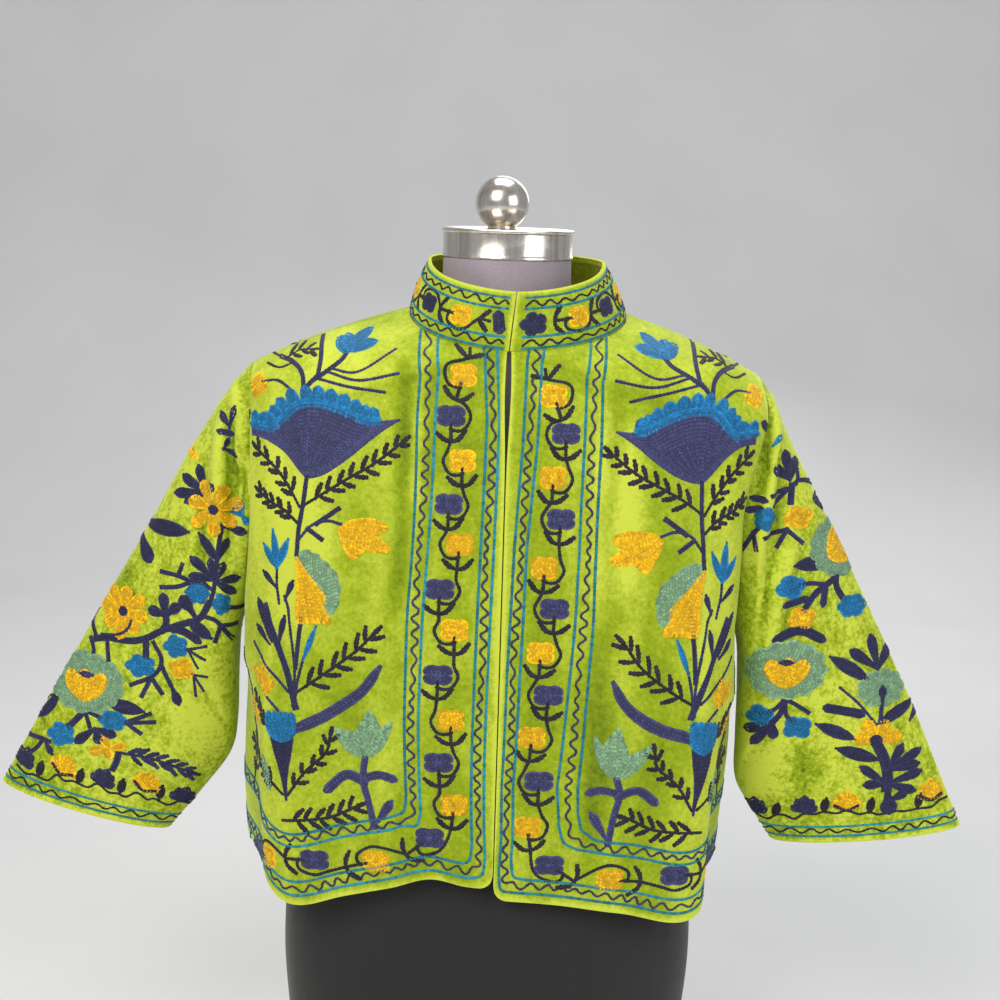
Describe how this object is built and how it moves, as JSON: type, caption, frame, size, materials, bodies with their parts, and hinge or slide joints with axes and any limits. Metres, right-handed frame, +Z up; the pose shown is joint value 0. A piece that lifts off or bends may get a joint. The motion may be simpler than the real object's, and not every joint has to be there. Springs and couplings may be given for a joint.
{
  "type": "suzani jacket on dress form",
  "caption": "Cropped open velvet jacket with a stand collar, flared three-quarter sleeves and floral chain-stitch embroidery, on a limbless dress form.",
  "frame": {"origin": "centre of the dress form's flat underside", "axes": "+Z up along the form's neck, -Y out of the jacket's open front, +X towards the wearer's left sleeve"},
  "size_m": [0.8876, 0.2355, 0.85],
  "materials": {
    "velvet": "matte",
    "jersey": "matte",
    "chrome": "polished"
  },
  "bodies": {
    "root": {"front_right": "velvet", "front_left": "velvet", "back": "velvet", "sleeve_right": "velvet", "sleeve_left": "velvet", "collar": "velvet", "form_torso": "jersey", "form_cap": "chrome", "form_finial": "chrome"}
  },
  "joints": []
}
